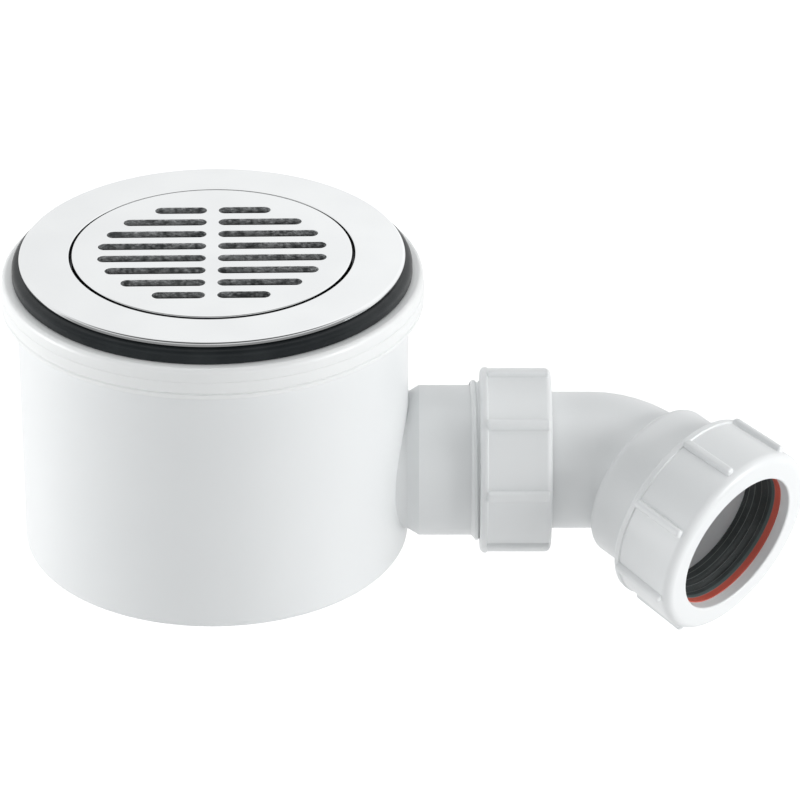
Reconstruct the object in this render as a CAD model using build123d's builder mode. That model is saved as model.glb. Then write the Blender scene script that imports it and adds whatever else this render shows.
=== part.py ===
"""Shower trap for a 90 mm tray hole, with a 45 degree swivel outlet for 40 mm pipe.

Millimetres. The origin is the centre of the tray hole, on the plane where the flange
clamps down. +Z is up out of the tray, and the nozzle leaves the body along +X.
"""

from build123d import *

import math
import os

# Flange and its threaded tail, which set the width of what goes round and into them
tail_diameter = 88.0
tail_wall = 4.1
tail_length = 21.0          # tray plane down to the end of the tail
seat_width = 3.4            # ledge in the tail that carries the dip tube
seat_thickness = 4.0
ledge_width = 1.96          # ledge above the tail's bore that carries the cover
flange_width = 14.64        # from the cover's recess out to the edge
flange_thickness = 1.3
flange_edge = 0.8
recess_edge = 0.5

# Slotted cover
cover_gap = 0.96            # all round, between the cover and the flange
cover_rise = 0.3            # cover's face above the flange's
cover_height = 3.9
cover_plate = 2.0
cover_skirt = 1.8
cover_edge = 0.7
slot_pitch = 7.8
slot_width = 4.0
slot_margin = 7.0           # cover's edge in to the circle that the slots' corners reach
shortest_slot = 12.0
centre_bar = 3.6
cover_turn = 1.2            # degrees

# Rubber ring on the shelf
flange_seal_thickness = 4.7
flange_seal_width = 12.1
flange_seal_round = 1.9
tail_passage = 2.5          # radial room round the tail

# Collar welded on the body's rim
shelf_width = 17.8          # sleeve's bore out to the collar's side
collar_height = 9.4
collar_plate = 2.5
collar_wall = 4.3
collar_top_edge = 1.6
collar_bottom_edge = 0.6
collar_lip = 1.3            # height of the lip under the groove
collar_groove = 0.4         # depth of the groove, and half its width
collar_step_height = 5.3    # collar's bottom up to the step
collar_step = 0.15          # radius lost above the step
sleeve_wall = 2.8
sleeve_depth = 18.0         # shelf down to the end of the threaded sleeve

# Dip tube and cup
water_seal = 50.0           # end of the tube up to the cup's rim
cup_drop = 4.2              # end of the sleeve down to the cup's rim
tube_clearance = 16.0       # underside of the body up to the tube's end
tube_diameter = 54.0
tube_wall = 2.0
tube_flange_height = 8.0
tube_flange_wall = 5.0
funnel_drop = 13.0          # funnel's height, down to the straight tube
lift_bar_width = 4.0
lift_bar_height = 5.0
fin_thickness = 2.0
fin_height = 34.0
fin_rise = 4.0              # end of the tube up to the fins
fin_count = 3
ring_section = 2.4          # thickness of the ring in the tube's flange
cup_diameter = 72.0
cup_wall = 2.0
cup_floor = 2.0
cup_corner = 3.0

# Body: a cup with a side nozzle
body_taper = 0.4            # radius lost from the rim to the floor
body_wall = 2.6
body_floor = 3.0
body_corner = 2.9           # rounding round the underside
cup_ring_height = 4.0       # low ring on the floor that centres the cup
cup_ring_wall = 1.8

# Nozzle on the side of the body
nozzle_height = 25.0        # axis above the underside
nozzle_bore = 38.0
neck_wall = 1.3
neck_length = 2.9           # body's side out to where the nozzle has its full diameter
neck_cone = 3.5             # length of the cone up to it
nozzle_wall = 3.4
nozzle_length = 31.0        # from there to the nozzle's end
nozzle_thread_rise = 0.8    # radial
nozzle_thread_length = 15.5
thread_run_out = 0.8

# Swivel coupling
washer_thickness = 2.8
washer_inset = 0.9          # radial, inside the nut's bore
coupling_nut_wall = 4.0
coupling_nut_length = 21.2
coupling_nut_shoulder = 2.45
coupling_nut_edge = 1.4
coupling_lip_length = 2.2
coupling_rib_width = 3.4
coupling_rib_height = 1.4
coupling_rib_start = 1.8    # from the nut's open end
coupling_rib_end = 0.8      # from the nut's closed end
coupling_rib_turn = 39.1    # degrees

# Bend
bore_step = 1.0             # radius lost from the nozzle's bore to the bend's
pipe_wall = 2.35
bend_flange_inset = 0.8     # radial, inside the nut's bore
bend_flange_thickness = 3.0
bend_angle = 45.0
bend_swing = 18.0           # degrees that the outlet points below level
bend_inside = 0.7           # radius left on the inside of the bend
elbow_offset = 26.1         # flange face to where the two axes cross

# Lipped seal in the socket
pipe_fit = 40.0             # pipe that the seal takes
seal_wall = 2.6
seal_flange_thickness = 2.9
seal_depth = 7.0
seal_land = 3.4
seal_lead_in = 1.9          # radius that the lips open by
seal_heel = 0.4             # bevel at the land's inner end
lip_step = 0.5
lip_count = 3

# Socket on the bend
socket_start = 10.3         # from where the axes cross
socket_length = 29.3
socket_shoulder = 1.6       # rounding of the socket's back
socket_stop = 15.0          # from where the axes cross to the pipe stop
socket_flare = 1.4          # radius that the mouth opens by
socket_rim = 2.15           # mouth's edge out to the thread
socket_thread_rise = 1.45   # radial
socket_thread_length = 14.6

# Slip washer and compression nut
slip_washer_thickness = 2.0
slip_washer_room = 2.0      # radial, round the pipe
compression_nut_wall = 3.75  # at the face
compression_nut_taper = 0.8  # radius lost from the face to the back
compression_nut_length = 23.0
compression_nut_front = 3.4
compression_mouth_room = 2.3  # radial, round the pipe
compression_nut_face_edge = 3.4
compression_lip_length = 2.6
compression_rib_width = 2.5
compression_rib_height = 1.9
compression_rib_start = 2.2  # from the nut's back
compression_rib_end = 2.6    # from the nut's face
compression_rib_turn = 4.1   # degrees
mouth_edge = 0.6

# Grip ribs on both nuts, and the lip that they start from
nut_lip_height = 1.2
nut_lip_edge = 0.5
rib_count = 8
rib_edge = 0.6
rib_nose = 1.2              # rounding of a rib's leading end
rib_root = 1.6              # depth that a rib runs into the nut's wall
rib_overrun = 0.2           # reach of the ring that rounds the ribs' ends past their top and root

# Clearances
weld_gap = 0.1              # body rim in the collar
thread_gap = 0.2            # radial, between threaded pieces
loose_gap = 0.3             # radial, round what lifts out or turns
seat_gap = 0.05             # between a nut's shoulder and what it clamps
seal_gap = 0.15             # round a rubber piece in its seat

# Radii, from the tail outwards and inwards
tail_radius = tail_diameter / 2
tail_bore_radius = tail_radius - tail_wall
seat_radius = tail_bore_radius - seat_width
recess_radius = tail_bore_radius + ledge_width
flange_radius = recess_radius + flange_width
cover_radius = recess_radius - cover_gap
slot_field_radius = cover_radius - slot_margin
ring_bore_radius = tail_radius + tail_passage
ring_outer_radius = ring_bore_radius + flange_seal_width
sleeve_radius = tail_radius + thread_gap
collar_radius = sleeve_radius + shelf_width
body_radius = collar_radius - collar_wall - weld_gap
underside_radius = body_radius - body_taper
tube_flange_radius = tail_bore_radius - loose_gap
tube_radius = tube_diameter / 2
cup_radius = cup_diameter / 2

# Radii along the outlet, from the nozzle's bore and the pipe outwards
nozzle_bore_radius = nozzle_bore / 2
nozzle_radius = nozzle_bore_radius + nozzle_wall
nozzle_thread_radius = nozzle_radius + nozzle_thread_rise
coupling_bore_radius = nozzle_thread_radius + thread_gap
coupling_nut_radius = coupling_bore_radius + coupling_nut_wall
pipe_bore_radius = nozzle_bore_radius - bore_step
pipe_radius = pipe_bore_radius + pipe_wall
land_radius = pipe_fit / 2
socket_bore_radius = land_radius + seal_wall
socket_mouth_radius = socket_bore_radius + socket_flare
socket_thread_radius = socket_mouth_radius + socket_rim
socket_radius = socket_thread_radius - socket_thread_rise
clamped_radius = socket_thread_radius - seal_gap
nut_bore_radius = socket_thread_radius + thread_gap
nut_front_radius = nut_bore_radius + compression_nut_wall
nut_back_radius = nut_front_radius - compression_nut_taper
coupling_lip_radius = coupling_nut_radius + nut_lip_height
compression_lip_radius = nut_back_radius + nut_lip_height

# Levels
flange_z = flange_thickness
cover_z = flange_z + cover_rise
ledge_z = cover_z - cover_height
tail_z = -tail_length
seat_z = tail_z + seat_thickness
shelf_z = -flange_seal_thickness
rim_z = shelf_z - collar_plate
collar_z = shelf_z - collar_height
sleeve_z = shelf_z - sleeve_depth
cup_rim_z = sleeve_z - cup_drop
tube_end_z = cup_rim_z - water_seal
under_z = tube_end_z - tube_clearance
floor_z = under_z + body_floor
nozzle_z = under_z + nozzle_height

# Stations along the nozzle's axis
neck_end_x = body_radius + neck_length
nozzle_end_x = neck_end_x + nozzle_length
bend_face_x = nozzle_end_x + washer_thickness
coupling_shoulder_x = bend_face_x + bend_flange_thickness + seat_gap
coupling_end_x = coupling_shoulder_x + coupling_nut_shoulder
coupling_start_x = coupling_end_x - coupling_nut_length
coupling_lip_x = coupling_start_x + coupling_lip_length
elbow_x = bend_face_x + elbow_offset

# Stations along the outlet's axis, from where the axes cross
socket_end = socket_start + socket_length
socket_thread_start = socket_end - socket_thread_length
seal_end = socket_end - seal_depth
seal_face = socket_end + seal_flange_thickness
washer_face = seal_face + slip_washer_thickness
nut_shoulder = washer_face + seat_gap
nut_face = nut_shoulder + compression_nut_front
nut_back = nut_face - compression_nut_length
compression_lip_end = nut_back + compression_lip_length

# Axes and planes. In a section plane, x is the radius and y runs along the axis.
body_section = Plane.XZ
nozzle_axis = Axis((0, 0, nozzle_z), (1, 0, 0))
nozzle_section = Plane((0, 0, nozzle_z), x_dir=(0, -1, 0), z_dir=(0, 0, 1))
swing_way = Vector(0, -math.cos(math.radians(bend_swing)), -math.sin(math.radians(bend_swing)))
turn = math.radians(bend_angle)
along_nozzle = Vector(1, 0, 0)
outlet_way = along_nozzle * math.cos(turn) + swing_way * math.sin(turn)
outer_way = along_nozzle * math.sin(turn) - swing_way * math.cos(turn)
elbow = Vector(elbow_x, 0, nozzle_z)
outlet_axis = Axis(elbow, outlet_way)
outlet_section = Plane(elbow, x_dir=outer_way, z_dir=outer_way.cross(outlet_way))
outlet_across = Plane(elbow, x_dir=outer_way, z_dir=outlet_way)
nozzle_across = Plane((0, 0, nozzle_z), x_dir=(0, -1, 0), z_dir=(1, 0, 0))


def turned(plane, axis, points, rounds=(), mode=Mode.ADD):
    """Turn a closed outline of (radius, station) points round an axis.

    rounds lists corners of the outline, each with the radius that it is rounded to.
    """
    with BuildSketch(plane) as outline:
        with BuildLine():
            Polyline(*points, close=True)
        make_face()
        for corner, radius in rounds:
            fillet(outline.vertices().sort_by_distance((*corner, 0))[0], radius)
    revolve(outline.sketch, axis=axis, mode=mode)


def grip_ribs(across, section, axis, start, end, nut_radius, height, width, first_angle):
    """Ribs along a nut from start to end, with rounded ends."""
    top = nut_radius + height
    root = nut_radius - rib_root
    ring_top = top + rib_overrun
    ring_bore = root - rib_overrun
    with BuildPart() as ribs:
        with BuildSketch(across.offset(start)) as rib_sections:
            with PolarLocations((root + top) / 2, rib_count, start_angle=first_angle):
                RectangleRounded(top - root, width, rib_edge)
        extrude(rib_sections.sketch, amount=end - start)
        turned(
            section,
            axis,
            [(ring_bore, start), (ring_top, start), (ring_top, end), (ring_bore, end)],
            rounds=[((ring_top, start), rib_edge), ((ring_top, end), rib_nose)],
            mode=Mode.INTERSECT,
        )
    return ribs.part


# Body: solid cup and nozzle first, then the hollow, the bore and the cup's ring
with BuildPart() as trap_body:
    turned(
        body_section,
        Axis.Z,
        [(0, under_z), (underside_radius, under_z), (body_radius, rim_z), (0, rim_z)],
        rounds=[((underside_radius, under_z), body_corner)],
    )
    thread_start_x = nozzle_end_x - nozzle_thread_length
    neck_radius = nozzle_bore_radius + neck_wall
    turned(
        nozzle_section,
        nozzle_axis,
        [
            (0, 0),
            (neck_radius, 0),
            (neck_radius, neck_end_x - neck_cone),
            (nozzle_radius, neck_end_x),
            (nozzle_radius, thread_start_x),
            (nozzle_thread_radius, thread_start_x + thread_run_out),
            (nozzle_thread_radius, nozzle_end_x),
            (0, nozzle_end_x),
        ],
    )
    turned(
        body_section,
        Axis.Z,
        [
            (0, floor_z),
            (underside_radius - body_wall, floor_z),
            (body_radius - body_wall, rim_z),
            (0, rim_z),
        ],
        rounds=[((underside_radius - body_wall, floor_z), body_corner)],
        mode=Mode.SUBTRACT,
    )
    turned(
        nozzle_section,
        nozzle_axis,
        [(0, 0), (nozzle_bore_radius, 0), (nozzle_bore_radius, nozzle_end_x), (0, nozzle_end_x)],
        mode=Mode.SUBTRACT,
    )
    cup_ring_radius = cup_radius + loose_gap
    turned(
        body_section,
        Axis.Z,
        [
            (cup_ring_radius, floor_z),
            (cup_ring_radius + cup_ring_wall, floor_z),
            (cup_ring_radius + cup_ring_wall, floor_z + cup_ring_height),
            (cup_ring_radius, floor_z + cup_ring_height),
        ],
    )

# Collar: a skirt over the body's rim with a groove and a step, the shelf, and the threaded sleeve
groove_low_z = collar_z + collar_lip
groove_top_z = groove_low_z + 2 * collar_groove
step_z = collar_z + collar_step_height
upper_radius = collar_radius - collar_step
with BuildPart() as body_collar:
    turned(
        body_section,
        Axis.Z,
        [
            (body_radius + weld_gap, collar_z),
            (collar_radius, collar_z),
            (collar_radius, groove_low_z),
            (collar_radius - collar_groove, groove_low_z + collar_groove),
            (collar_radius, groove_top_z),
            (collar_radius, step_z),
            (upper_radius, step_z + collar_step),
            (upper_radius, shelf_z),
            (sleeve_radius, shelf_z),
            (sleeve_radius, sleeve_z),
            (sleeve_radius + sleeve_wall, sleeve_z),
            (sleeve_radius + sleeve_wall, rim_z),
            (body_radius + weld_gap, rim_z),
        ],
        rounds=[
            ((collar_radius, collar_z), collar_bottom_edge),
            ((upper_radius, shelf_z), collar_top_edge),
        ],
    )

# Rubber ring on the shelf, rounded on its outer side
with BuildPart() as flange_seal:
    turned(
        body_section,
        Axis.Z,
        [
            (ring_bore_radius, shelf_z),
            (ring_outer_radius, shelf_z),
            (ring_outer_radius, 0),
            (ring_bore_radius, 0),
        ],
        rounds=[
            ((ring_outer_radius, shelf_z), flange_seal_round),
            ((ring_outer_radius, 0), flange_seal_round),
        ],
    )

# Flange: a thin ring, the recess for the cover, and the tail with the dip tube's seat
with BuildPart() as waste_flange:
    turned(
        body_section,
        Axis.Z,
        [
            (recess_radius, flange_z),
            (flange_radius, flange_z),
            (flange_radius, 0),
            (tail_radius, 0),
            (tail_radius, tail_z),
            (seat_radius, tail_z),
            (seat_radius, seat_z),
            (tail_bore_radius, seat_z),
            (tail_bore_radius, ledge_z),
            (recess_radius, ledge_z),
        ],
        rounds=[((flange_radius, flange_z), flange_edge), ((recess_radius, flange_z), recess_edge)],
    )

# Cover: a shallow pan upside down on the flange's ledge, cut by two columns of slots
row_limit = math.sqrt(slot_field_radius**2 - (shortest_slot + centre_bar / 2) ** 2)
half_rows = int((row_limit - slot_width / 2) / slot_pitch + 1 / 2)
with BuildPart() as grid_cover:
    turned(
        body_section,
        Axis.Z,
        [
            (0, cover_z),
            (cover_radius, cover_z),
            (cover_radius, ledge_z),
            (cover_radius - cover_skirt, ledge_z),
            (cover_radius - cover_skirt, cover_z - cover_plate),
            (0, cover_z - cover_plate),
        ],
        rounds=[((cover_radius, cover_z), cover_edge)],
    )
    with BuildSketch(Plane.XY.offset(cover_z).rotated((0, 0, cover_turn))):
        for row in range(-half_rows, half_rows):
            row_y = (row + 1 / 2) * slot_pitch
            row_reach = math.sqrt(slot_field_radius**2 - (abs(row_y) + slot_width / 2) ** 2)
            slot_length = row_reach - centre_bar / 2
            slot_middle = centre_bar / 2 + slot_length / 2
            with Locations((-slot_middle, row_y), (slot_middle, row_y)):
                SlotOverall(slot_length, slot_width)
    extrude(amount=-cover_plate, mode=Mode.SUBTRACT)

# Dip tube: a flange in the tail's seat, a funnel and a straight tube with fins
tube_top_z = seat_z + tube_flange_height
hang_radius = seat_radius - loose_gap
funnel_radius = tube_flange_radius - tube_flange_wall
groove_z = seat_z + tube_flange_height / 2
groove_half = ring_section / 2 + seal_gap
ring_radius = tail_bore_radius - seal_gap - ring_section / 2
with BuildPart() as dip_tube:
    turned(
        body_section,
        Axis.Z,
        [
            (tube_flange_radius, seat_z),
            (tube_flange_radius, tube_top_z),
            (funnel_radius, tube_top_z),
            (funnel_radius, groove_z),
            (tube_radius - tube_wall, groove_z - funnel_drop),
            (tube_radius - tube_wall, tube_end_z),
            (tube_radius, tube_end_z),
            (tube_radius, seat_z - funnel_drop),
            (hang_radius, seat_z - tube_wall),
            (hang_radius, seat_z),
        ],
    )
    turned(
        body_section,
        Axis.Z,
        [
            (ring_radius - groove_half, groove_z - groove_half),
            (tube_flange_radius, groove_z - groove_half),
            (tube_flange_radius, groove_z + groove_half),
            (ring_radius - groove_half, groove_z + groove_half),
        ],
        mode=Mode.SUBTRACT,
    )
    with BuildSketch(Plane.XY.offset(tube_end_z + fin_rise)):
        fin_inner = tube_radius - tube_wall / 2
        fin_outer = cup_radius - cup_wall - loose_gap
        with PolarLocations((fin_inner + fin_outer) / 2, fin_count):
            Rectangle(fin_outer - fin_inner, fin_thickness)
    extrude(amount=fin_height)
    with BuildSketch(Plane.XY.offset(groove_z)):
        Rectangle(2 * funnel_radius + tube_wall, lift_bar_width)
    extrude(amount=lift_bar_height)

# Rubber ring in the dip tube's groove
with BuildPart() as dip_tube_seal:
    with BuildSketch(Plane.XZ):
        with Locations((ring_radius, groove_z)):
            Circle(ring_section / 2)
    revolve(axis=Axis.Z)

# Cup that stands on the body's floor and holds the water seal
with BuildPart() as trap_cup:
    turned(
        body_section,
        Axis.Z,
        [
            (0, floor_z),
            (cup_radius, floor_z),
            (cup_radius, cup_rim_z),
            (cup_radius - cup_wall, cup_rim_z),
            (cup_radius - cup_wall, floor_z + cup_floor),
            (0, floor_z + cup_floor),
        ],
        rounds=[((cup_radius - cup_wall, floor_z + cup_floor), cup_corner)],
    )

# Flat washer between the nozzle and the bend
washer_radius = coupling_bore_radius - washer_inset
with BuildPart() as coupling_washer:
    turned(
        nozzle_section,
        nozzle_axis,
        [
            (nozzle_bore_radius, nozzle_end_x),
            (washer_radius, nozzle_end_x),
            (washer_radius, bend_face_x),
            (nozzle_bore_radius, bend_face_x),
        ],
    )

# Coupling nut: threaded bore, a lip at its open end, and a shoulder that draws the bend's flange in
coupling_hole_radius = pipe_radius + loose_gap
coupling_ribs = grip_ribs(
    nozzle_across,
    nozzle_section,
    nozzle_axis,
    coupling_start_x + coupling_rib_start,
    coupling_end_x - coupling_rib_end,
    coupling_nut_radius,
    coupling_rib_height,
    coupling_rib_width,
    coupling_rib_turn,
)
with BuildPart() as coupling_nut:
    turned(
        nozzle_section,
        nozzle_axis,
        [
            (coupling_bore_radius, coupling_start_x),
            (coupling_lip_radius, coupling_start_x),
            (coupling_lip_radius, coupling_lip_x),
            (coupling_nut_radius, coupling_lip_x),
            (coupling_nut_radius, coupling_end_x),
            (coupling_hole_radius, coupling_end_x),
            (coupling_hole_radius, coupling_shoulder_x),
            (coupling_bore_radius, coupling_shoulder_x),
        ],
        rounds=[
            ((coupling_lip_radius, coupling_start_x), nut_lip_edge),
            ((coupling_lip_radius, coupling_lip_x), nut_lip_edge),
            ((coupling_nut_radius, coupling_end_x), coupling_nut_edge),
        ],
    )
    add(coupling_ribs)

# Bend: flanged inlet, swept elbow and threaded socket, then the bore and the socket's inside
bend_radius = pipe_radius + bend_inside
bend_tangent = bend_radius * math.tan(turn / 2)
bend_inlet = Plane((bend_face_x, 0, nozzle_z), x_dir=(0, -1, 0), z_dir=along_nozzle)
with BuildPart() as outlet_bend:
    with BuildLine() as bend_route:
        bend_start = elbow - along_nozzle * bend_tangent
        bend_finish = elbow + outlet_way * bend_tangent
        Line(bend_inlet.origin, bend_start)
        TangentArc(bend_start, bend_finish, tangent=along_nozzle)
        Line(bend_finish, elbow + outlet_way * socket_stop)
    with BuildSketch(bend_inlet):
        Circle(pipe_radius)
    sweep(path=bend_route.wire())
    with BuildSketch(bend_inlet):
        Circle(coupling_bore_radius - bend_flange_inset)
    extrude(amount=bend_flange_thickness)
    turned(
        outlet_section,
        outlet_axis,
        [
            (0, socket_start),
            (socket_radius, socket_start),
            (socket_radius, socket_thread_start),
            (socket_thread_radius, socket_thread_start + thread_run_out),
            (socket_thread_radius, socket_end),
            (0, socket_end),
        ],
        rounds=[((socket_radius, socket_start), socket_shoulder)],
    )
    with BuildSketch(bend_inlet):
        Circle(pipe_bore_radius)
    sweep(path=bend_route.wire(), mode=Mode.SUBTRACT)
    turned(
        outlet_section,
        outlet_axis,
        [
            (0, socket_stop),
            (socket_bore_radius, socket_stop),
            (socket_bore_radius, seal_end),
            (socket_mouth_radius, socket_end),
            (0, socket_end),
        ],
        mode=Mode.SUBTRACT,
    )

# Lipped seal: a flange on the socket's end and a taper inside it, stepping in to the pipe's land
land_start = seal_end + seal_heel
lip_pitch = (seal_face - land_start - seal_land) / lip_count
lips = [(land_radius + seal_lead_in, seal_face)]
for lip in range(lip_count):
    lip_station = seal_face - lip_pitch * (lip + 1)
    lip_radius = land_radius + seal_lead_in * (1 - (lip + 1) / lip_count)
    lips.append((lip_radius, lip_station))
    if lip < lip_count - 1:
        lips.append((lip_radius + lip_step, lip_station))
with BuildPart() as pipe_seal:
    turned(
        outlet_section,
        outlet_axis,
        [
            *lips,
            (land_radius, land_start),
            (land_radius + seal_heel, seal_end),
            (socket_bore_radius - seal_gap, seal_end),
            (socket_mouth_radius - seal_gap, socket_end),
            (clamped_radius, socket_end),
            (clamped_radius, seal_face),
        ],
    )

# Slip washer between the seal and the nut's shoulder
slip_washer_bore_radius = land_radius + slip_washer_room
with BuildPart() as slip_washer:
    turned(
        outlet_section,
        outlet_axis,
        [
            (slip_washer_bore_radius, seal_face),
            (clamped_radius, seal_face),
            (clamped_radius, washer_face),
            (slip_washer_bore_radius, washer_face),
        ],
    )

# Compression nut: threaded bore, a lip at its back, shoulder and a full round face about the mouth
mouth_radius = land_radius + compression_mouth_room
compression_ribs = grip_ribs(
    outlet_across,
    outlet_section,
    outlet_axis,
    nut_back + compression_rib_start,
    nut_face - compression_rib_end,
    nut_front_radius,
    compression_rib_height,
    compression_rib_width,
    compression_rib_turn,
)
with BuildPart() as compression_nut:
    turned(
        outlet_section,
        outlet_axis,
        [
            (nut_bore_radius, nut_back),
            (compression_lip_radius, nut_back),
            (compression_lip_radius, compression_lip_end),
            (nut_back_radius, compression_lip_end),
            (nut_front_radius, nut_face),
            (mouth_radius, nut_face),
            (mouth_radius, nut_shoulder),
            (nut_bore_radius, nut_shoulder),
        ],
        rounds=[
            ((compression_lip_radius, nut_back), nut_lip_edge),
            ((compression_lip_radius, compression_lip_end), nut_lip_edge),
            ((nut_front_radius, nut_face), compression_nut_face_edge),
            ((mouth_radius, nut_face), mouth_edge),
        ],
    )
    add(compression_ribs)

pieces = {
    "trap_body": trap_body,
    "body_collar": body_collar,
    "flange_seal": flange_seal,
    "waste_flange": waste_flange,
    "grid_cover": grid_cover,
    "dip_tube": dip_tube,
    "dip_tube_seal": dip_tube_seal,
    "trap_cup": trap_cup,
    "coupling_washer": coupling_washer,
    "coupling_nut": coupling_nut,
    "outlet_bend": outlet_bend,
    "pipe_seal": pipe_seal,
    "slip_washer": slip_washer,
    "compression_nut": compression_nut,
}

os.makedirs("parts", exist_ok=True)
for name, piece in pieces.items():
    piece.part.label = name
    export_step(piece.part, f"parts/{name}.step")
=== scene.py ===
"""Looks of the shower trap: moulded white plastic, chrome plate and rubber in plain soft light."""

import math

import bmesh
import bpy
from mathutils import Matrix, Vector


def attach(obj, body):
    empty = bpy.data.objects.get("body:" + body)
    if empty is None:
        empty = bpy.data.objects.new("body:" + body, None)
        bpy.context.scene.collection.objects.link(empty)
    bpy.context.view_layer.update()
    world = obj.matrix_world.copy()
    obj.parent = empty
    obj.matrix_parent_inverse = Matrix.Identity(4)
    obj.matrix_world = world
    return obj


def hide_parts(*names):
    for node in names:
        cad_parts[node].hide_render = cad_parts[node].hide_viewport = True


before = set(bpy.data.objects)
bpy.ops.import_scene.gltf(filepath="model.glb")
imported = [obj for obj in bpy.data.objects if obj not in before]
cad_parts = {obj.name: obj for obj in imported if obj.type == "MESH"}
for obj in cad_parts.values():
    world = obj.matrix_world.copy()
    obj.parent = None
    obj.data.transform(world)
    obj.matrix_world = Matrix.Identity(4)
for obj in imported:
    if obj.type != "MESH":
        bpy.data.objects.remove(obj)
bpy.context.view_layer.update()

MM = 0.001

# Sizes in millimetres. They are the solids' own, apart from the nuts' lips and ribs, the socket's shoulder
# and the edges of cover and recess, which follow the photo more closely

# Cover and flange
cover_radius, cover_top, cover_ledge = 41.0, 1.6, -2.3
cover_plate, cover_skirt, cover_edge = 2.0, 1.8, 0.35
slot_pitch, slot_width, slot_field, centre_bar = 7.8, 4.0, 33.9, 3.6
slot_half_rows, slot_softness, cover_turn = 4, 0.25, 1.2
flange_radius, flange_top, flange_edge = 56.5, 1.3, 0.8
recess_radius, recess_edge = 41.8, 0.35
tail_radius, tail_bore, tail_end = 44.0, 39.9, -21.0
seat_radius, seat_top = 36.5, -17.0

# Rubber ring
ring_bore, ring_radius, ring_under = 46.5, 58.6, -4.7
foot_rounding, bulge_rounding, bulge_rise = 0.6, 1.9, 2.2
neck_cut, neck_drop, brim_cut = 2.4, 0.4, 3.2

# Axes of the nozzle and the outlet
nozzle_z, elbow_x = -67.9, 120.4
bend_angle, bend_swing = math.radians(45), math.radians(18)
outlet_way = Vector((
    math.cos(bend_angle),
    -math.sin(bend_angle) * math.cos(bend_swing),
    -math.sin(bend_angle) * math.sin(bend_swing),
))
outer_way = Vector((
    math.sin(bend_angle),
    math.cos(bend_angle) * math.cos(bend_swing),
    math.cos(bend_angle) * math.sin(bend_swing),
))
nozzle_way, front_way, up = Vector((1, 0, 0)), Vector((0, -1, 0)), Vector((0, 0, 1))
elbow = Vector((elbow_x, 0, nozzle_z)) * MM
nozzle_line = Vector((0, 0, nozzle_z)) * MM

# Bend and its seal, along the outlet from the elbow
tube_radius, socket_back, socket_radius = 20.35, 10.3, 24.7
shoulder_cut, shoulder_rounding = 1.6, 2.5
hollow_rounding, sunk_in_tube, sunk_in_socket = 1.85, 0.4, 0.3
seal_face, lip_pitch = 42.5, 2.033

# Coupling nut, along X
coupling_back, coupling_shoulder, coupling_front = 78.6, 97.35, 99.8
coupling_bore, coupling_hole, coupling_radius = 23.4, 20.65, 27.4
coupling_lip, coupling_lip_rounding, coupling_lip_flat, coupling_lip_end = 0.35, 1.7, 2.1, 2.3
coupling_front_rounding = 1.9
coupling_ribs = {
    "First Angle": 39.1, "Lean": 0.0, "Root Radius": 27.0, "Rise": 1.75, "Width": 3.4, "Nose": 1.2,
    "Start": coupling_back + 1.9, "End": coupling_front - 0.6,
}

# Compression nut, along the outlet from the elbow
compression_back, compression_shoulder, compression_face = 25.6, 44.55, 47.95
compression_bore, mouth_radius, mouth_rounding = 26.35, 22.3, 0.6
compression_back_radius, compression_front_radius, compression_front_rounding = 29.3, 30.1, 2.7
compression_lip, compression_lip_rounding, compression_lip_flat, compression_lip_end = 0.4, 0.7, 1.9, 2.2
compression_root_cut = 0.05
compression_ribs = {
    "First Angle": 4.1, "Lean": 2.2, "Root Radius": 29.1, "Rise": 2.4, "Width": 2.7, "Nose": 1.4,
    "Start": compression_back + 1.5, "End": compression_face - 2.5,
}

# What repeats
rib_count = 8
pipe_pitch, tail_pitch = 2.309, 3.0
thread_root_share, thread_crest_share = 0.86, 0.3
cover_steps, nut_steps, ring_steps, flange_steps = 160, 160, 200, 280


# Node helpers

def put(tree, kind, values=None, **settings):
    """Add a node, with its settings and the values of its inputs."""
    made = tree.nodes.new(kind)
    for key, value in settings.items():
        setattr(made, key, value)
    for key, value in (values or {}).items():
        if isinstance(value, bpy.types.NodeSocket):
            tree.links.new(value, made.inputs[key])
        else:
            made.inputs[key].default_value = value
    return made


def maths(tree, operation, a, b=None):
    """The result of a maths node on one or two values or sockets."""
    values = {0: a} if b is None else {0: a, 1: b}
    return put(tree, "ShaderNodeMath", values, operation=operation).outputs[0]


def blend(tree, share, below, above):
    """A mix of two colours."""
    return put(tree, "ShaderNodeMix", {0: share, 6: below, 7: above}, data_type="RGBA").outputs[2]


def vector(tree, **parts):
    """A vector from its X, Y and Z."""
    return put(tree, "ShaderNodeCombineXYZ", parts).outputs[0]


def stored(tree, name):
    """The number that a geometry tree has stored under a name."""
    return put(tree, "GeometryNodeInputNamedAttribute", {"Name": name}, data_type="FLOAT").outputs[0]


def open_group(name, kind, inputs, outputs):
    """A node group with named sockets, and its input and output nodes."""
    tree = bpy.data.node_groups.new(name, kind)
    for label, socket, value in inputs:
        made = tree.interface.new_socket(label, in_out="INPUT", socket_type=socket)
        if value is not None:
            made.default_value = value
    for label, socket in outputs:
        tree.interface.new_socket(label, in_out="OUTPUT", socket_type=socket)
    return tree, tree.nodes.new("NodeGroupInput"), tree.nodes.new("NodeGroupOutput")


# Shared surface effects

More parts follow.
